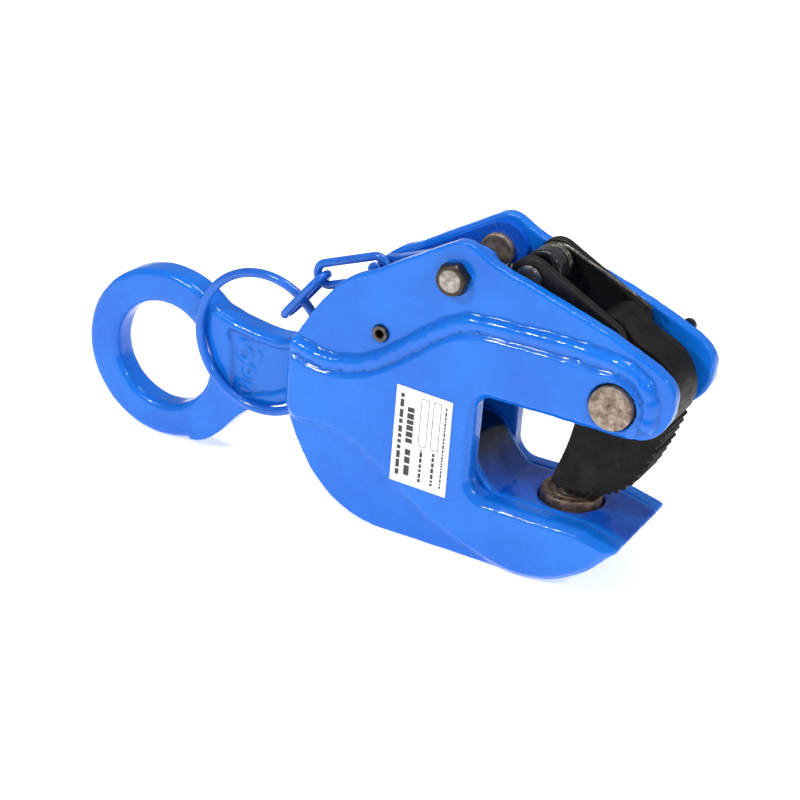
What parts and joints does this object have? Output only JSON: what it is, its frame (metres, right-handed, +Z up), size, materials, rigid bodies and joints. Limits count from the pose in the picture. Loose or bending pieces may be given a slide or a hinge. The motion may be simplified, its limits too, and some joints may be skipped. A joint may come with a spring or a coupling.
{
  "type": "plate lifting clamp",
  "caption": "Plate lifting clamp with a forged eye shackle, linked toothed cam over a swivel pad in an open jaw, and a lock lever worked by a chain and ring.",
  "frame": {"origin": "centre of the lifting eye", "axes": "+X from the eye towards the open jaw mouth, +Y along the eye's bore from the labelled side to the bolt-head side, +Z up from the flat the clamp stands on"},
  "size_m": [0.3845, 0.08, 0.1844],
  "materials": {
    "blue_paint": "thick gloss blue enamel",
    "inner_paint": "gloss blue enamel, shaded inside",
    "worn_steel": "mottled, oiled forged steel",
    "zinc_steel": "bright zinc",
    "dark_steel": "dark oiled steel",
    "spring_pin_steel": "steel with blue overspray",
    "black_oxide": "black oxide, satin",
    "label": "white vinyl, satin",
    "spring_steel": "bright spring wire",
    "pad_steel": "browned turned steel"
  },
  "bodies": {
    "frame": {"front_side_plate": "blue_paint", "rear_side_plate": "blue_paint", "front_cheek_plate": "blue_paint", "rear_cheek_plate": "blue_paint", "jaw_block": "blue_paint", "front_inner_doubler": "inner_paint", "rear_inner_doubler": "inner_paint", "front_guide_block": "inner_paint", "rear_guide_block": "inner_paint", "cam_pin": "worn_steel", "lock_bolt": "zinc_steel", "lock_nut": "dark_steel", "rear_stud": "worn_steel", "rear_stud_nut": "dark_steel", "bolt_spacer": "dark_steel", "guide_pin": "spring_pin_steel", "pin_lock_screw": "black_oxide", "name_plate": "label", "front_cam_washer": "dark_steel", "rear_cam_washer": "dark_steel", "tension_spring": "spring_steel"},
    "shackle": {"lifting_shackle": "blue_paint"},
    "cam": {"cam_segment": "black_oxide", "cam_bush": "dark_steel"},
    "links": {"front_link": "black_oxide", "rear_link": "black_oxide", "shackle_pin": "dark_steel", "shackle_pin_clip": "spring_steel", "link_pin": "dark_steel", "link_pin_clip": "spring_steel", "torsion_spring": "spring_steel"},
    "lever": {"lock_lever": "blue_paint"},
    "chain_a": {"chain_link_a": "blue_paint"},
    "chain_b": {"chain_link_b": "blue_paint"},
    "ring": {"pull_ring": "blue_paint"},
    "pad": {"swivel_pad": "pad_steel", "pad_screw": "dark_steel"}
  },
  "joints": [
    {"name": "cam_swing", "type": "hinge", "parent": "frame", "child": "cam", "pos_m": [0.2984, 0, 0.0641], "axis": [0, 1, 0], "range_deg": [0, 40], "stiffness_Nm_per_rad": 1.2, "springref_deg": -34.38},
    {"name": "link_swing", "type": "hinge", "parent": "cam", "child": "links", "pos_m": [0.2837, 0, 0.0921], "axis": [0, 1, 0], "range_deg": [-44, 0.5], "deforming": ["torsion_spring"]},
    {"name": "shackle_slide", "type": "slide", "parent": "frame", "child": "shackle", "axis": [1, 0, 0], "range_m": [-0.0002, 0.0203], "deforming": ["tension_spring"]},
    {"name": "lock_lever_swing", "type": "hinge", "parent": "frame", "child": "lever", "pos_m": [0.1996, 0, 0.1101], "axis": [0, 1, 0], "range_deg": [0, 15]},
    {"name": "chain_link_a_swing", "type": "hinge", "parent": "lever", "child": "chain_a", "pos_m": [0.141, 0, 0.0935], "axis": [0, 1, 0], "range_deg": [0, 30]},
    {"name": "chain_link_b_swing", "type": "hinge", "parent": "chain_a", "child": "chain_b", "pos_m": [0.109, 0, 0.0809], "axis": [0, 1, 0], "range_deg": [0, 25]},
    {"name": "pull_ring_swing", "type": "hinge", "parent": "chain_b", "child": "ring", "pos_m": [0.0958, 0, 0.0638], "axis": [0, 1, 0], "range_deg": [0, 40]},
    {"name": "pad_spin", "type": "hinge", "parent": "frame", "child": "pad", "pos_m": [0.268, 0, -0.0135], "axis": [0, 0, 1], "continuous": true}
  ],
  "couplings": [
    {"joint": "link_swing", "follows": "cam_swing", "ratio": -1.089},
    {"joint": "shackle_slide", "follows": "cam_swing", "m_per_rad": 0.0288}
  ]
}
